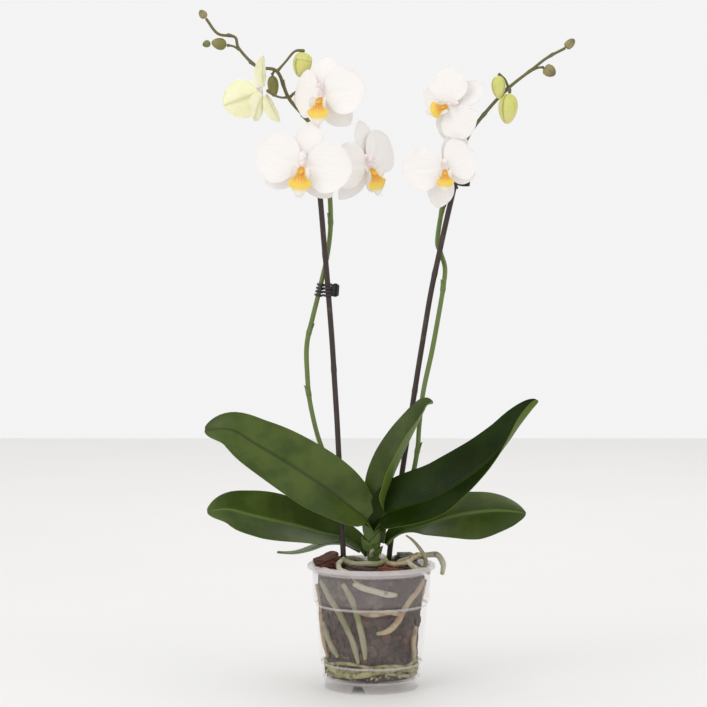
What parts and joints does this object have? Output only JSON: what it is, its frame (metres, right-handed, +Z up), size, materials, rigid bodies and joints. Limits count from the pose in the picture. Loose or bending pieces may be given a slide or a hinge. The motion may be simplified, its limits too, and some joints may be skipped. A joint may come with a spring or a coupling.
{
  "type": "potted live plant",
  "caption": "Moth orchid in a clear plastic grow pot, with arching flower spikes tied to stakes, white flowers, buds, broad leaves and aerial roots.",
  "frame": {"origin": "on the pot's axis, on the surface that the pot stands on, at the underside of the small hub in the middle of the pot's floor", "axes": "+Z up along the pot's axis; the front of the plant faces -Y; +X is to the right as seen from the front"},
  "size_m": [0.3581, 0.1258, 0.6427],
  "materials": {
    "clear_plastic": "milky clear, thin moulded wall",
    "bark_mix": "matt, coarse chips",
    "bark": "matt, split surface",
    "root": "matt, silvery skin",
    "leaf": "waxy satin",
    "stem": "satin",
    "bud": "satin",
    "petal": "matt, finely veined",
    "lip": "satin",
    "stake": "stained, matt",
    "clip": "matt black"
  },
  "bodies": {
    "root": {"grow_pot": "clear_plastic", "bark_mix": "bark_mix", "bark_left": "bark", "bark_centre": "bark", "bark_red": "bark", "bark_back": "bark", "root_wall_left": "root", "root_wall_centre": "root", "root_wall_band": "root", "root_wall_right": "root", "root_wall_low": "root", "root_tangle": "root", "root_over_rim": "root", "root_rising": "root", "stake_left": "stake", "stake_right": "stake", "crown": "stem", "leaf_upper_left": "leaf", "leaf_lower_left": "leaf", "leaf_small_left": "leaf", "leaf_centre": "leaf", "leaf_upper_right": "leaf", "leaf_lower_right": "leaf", "spike_left": "stem", "spike_right": "stem", "bud_left_large": "bud", "bud_left_hidden": "bud", "bud_left_olive": "bud", "bud_left_small": "bud", "bud_left_tip": "bud", "bud_right_upper": "bud", "bud_right_large": "bud", "bud_right_small": "bud", "bud_right_tip": "bud", "flower_a_sepals": "petal", "flower_a_petal_left": "petal", "flower_a_petal_right": "petal", "flower_a_lip": "lip", "flower_b_sepals": "petal", "flower_b_petal_left": "petal", "flower_b_petal_right": "petal", "flower_b_lip": "lip", "flower_c_sepals": "petal", "flower_c_petal_left": "petal", "flower_c_petal_right": "petal", "flower_c_lip": "lip", "flower_d_sepals": "petal", "flower_d_petal_left": "petal", "flower_d_petal_right": "petal", "flower_d_lip": "lip", "flower_e_sepals": "petal", "flower_e_petal_left": "petal", "flower_e_petal_right": "petal", "flower_e_lip": "lip", "flower_f_sepals": "petal", "flower_f_petal_left": "petal", "flower_f_petal_right": "petal", "flower_f_lip": "lip", "clip_left": "clip", "clip_right": "clip"}
  },
  "joints": []
}
